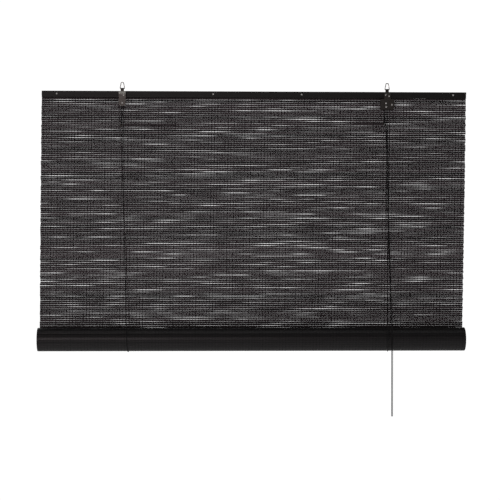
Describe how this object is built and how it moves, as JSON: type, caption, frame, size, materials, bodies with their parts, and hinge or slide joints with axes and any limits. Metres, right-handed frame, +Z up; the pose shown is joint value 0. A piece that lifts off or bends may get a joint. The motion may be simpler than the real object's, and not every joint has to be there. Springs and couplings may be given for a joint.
{
  "type": "bamboo roll up blind",
  "caption": "Bamboo roll up blind drawn part way down: head rail with hanging rings, cord pulley and cord lock, slatted mat with its roll below, and a pull cord.",
  "frame": {"origin": "on the line on which two hooks carry the hanging rings, above the middle of the head rail", "axes": "+X along the head rail to the right as seen from the front, +Y from the front to the wall or window, +Z up"},
  "size_m": [1.2085, 0.0747, 0.9381],
  "materials": {
    "lath_wood": "dark stain, satin",
    "mat_sticks": "dark stain, satin, with lighter threads",
    "bright_steel": "plated, worn bright",
    "frame_steel": "dark bronze plating, satin",
    "pin_steel": "plated",
    "wheel_plastic": "satin",
    "dog_metal": "cast, satin",
    "cord": "braided, matt"
  },
  "bodies": {
    "head_rail": {"front_lath": "lath_wood", "back_lath": "lath_wood", "rail_tacks": "bright_steel", "hanging_mat": "mat_sticks", "pulley_frame": "frame_steel", "pulley_axle": "pin_steel", "lock_frame": "frame_steel", "lock_roller_axle": "pin_steel", "lock_dog_pivot": "pin_steel", "lock_anvil_pin": "pin_steel", "hardware_screws": "bright_steel", "mat_eyelets": "pin_steel", "cord_screw_eyes": "bright_steel", "cord_end_knots": "cord", "left_ring_strap": "frame_steel", "right_ring_strap": "frame_steel", "left_lift_cord_front": "cord", "right_lift_cord_front": "cord", "left_lift_cord_back": "cord", "right_lift_cord_back": "cord", "cross_cord": "cord", "right_lock_cord": "cord", "left_pull_cord_upper": "cord", "right_pull_cord_upper": "cord"},
    "cord_slings": {"left_cord_sling": "cord", "right_cord_sling": "cord", "left_pull_cord_lower": "cord", "right_pull_cord_lower": "cord"},
    "roll": {"rolled_mat": "mat_sticks", "bottom_lath": "lath_wood"},
    "pull_cord_end": {"left_pull_cord_end": "cord", "right_pull_cord_end": "cord"},
    "left_ring": {"left_hanging_ring": "bright_steel"},
    "right_ring": {"right_hanging_ring": "bright_steel"},
    "pulley_wheel": {"pulley_wheel": "wheel_plastic"},
    "lock_roller": {"lock_roller": "wheel_plastic"},
    "lock_dog": {"lock_dog": "dog_metal"}
  },
  "joints": [
    {"name": "roll_lift", "type": "slide", "parent": "head_rail", "child": "cord_slings", "axis": [0, 0, 1], "range_m": [0, 0.46], "deforming": ["hanging_mat", "left_lift_cord_front", "right_lift_cord_front", "left_lift_cord_back", "right_lift_cord_back", "left_pull_cord_upper", "right_pull_cord_upper"]},
    {"name": "roll_turn", "type": "hinge", "parent": "cord_slings", "child": "roll", "pos_m": [-0.0085, -0.0242, -0.72071], "axis": [1, 0, 0], "range_deg": [-720, 0]},
    {"name": "pull_feed", "type": "slide", "parent": "cord_slings", "child": "pull_cord_end", "axis": [0, 0, -1], "range_m": [0, 1.38], "deforming": ["left_pull_cord_lower", "right_pull_cord_lower"]},
    {"name": "left_ring_swing", "type": "hinge", "parent": "head_rail", "child": "left_ring", "pos_m": [-0.3737, 0, -0.0165], "axis": [1, 0, 0], "range_deg": [-85, 85]},
    {"name": "right_ring_swing", "type": "hinge", "parent": "head_rail", "child": "right_ring", "pos_m": [0.3748, 0, -0.0165], "axis": [1, 0, 0], "range_deg": [-85, 85]},
    {"name": "pulley_turn", "type": "hinge", "parent": "head_rail", "child": "pulley_wheel", "pos_m": [-0.3738, -0.0055, -0.0573], "axis": [0, 1, 0], "continuous": true},
    {"name": "roller_turn", "type": "hinge", "parent": "head_rail", "child": "lock_roller", "pos_m": [0.3704, -0.0055, -0.0554], "axis": [0, 1, 0], "continuous": true},
    {"name": "dog_swing", "type": "hinge", "parent": "head_rail", "child": "lock_dog", "pos_m": [0.3873, -0.0055, -0.0598], "axis": [0, 1, 0], "range_deg": [-30, 0]}
  ],
  "couplings": [
    {"joint": "roll_turn", "follows": "roll_lift", "rad_per_m": -27.32},
    {"joint": "pull_feed", "follows": "roll_lift", "ratio": 3}
  ]
}
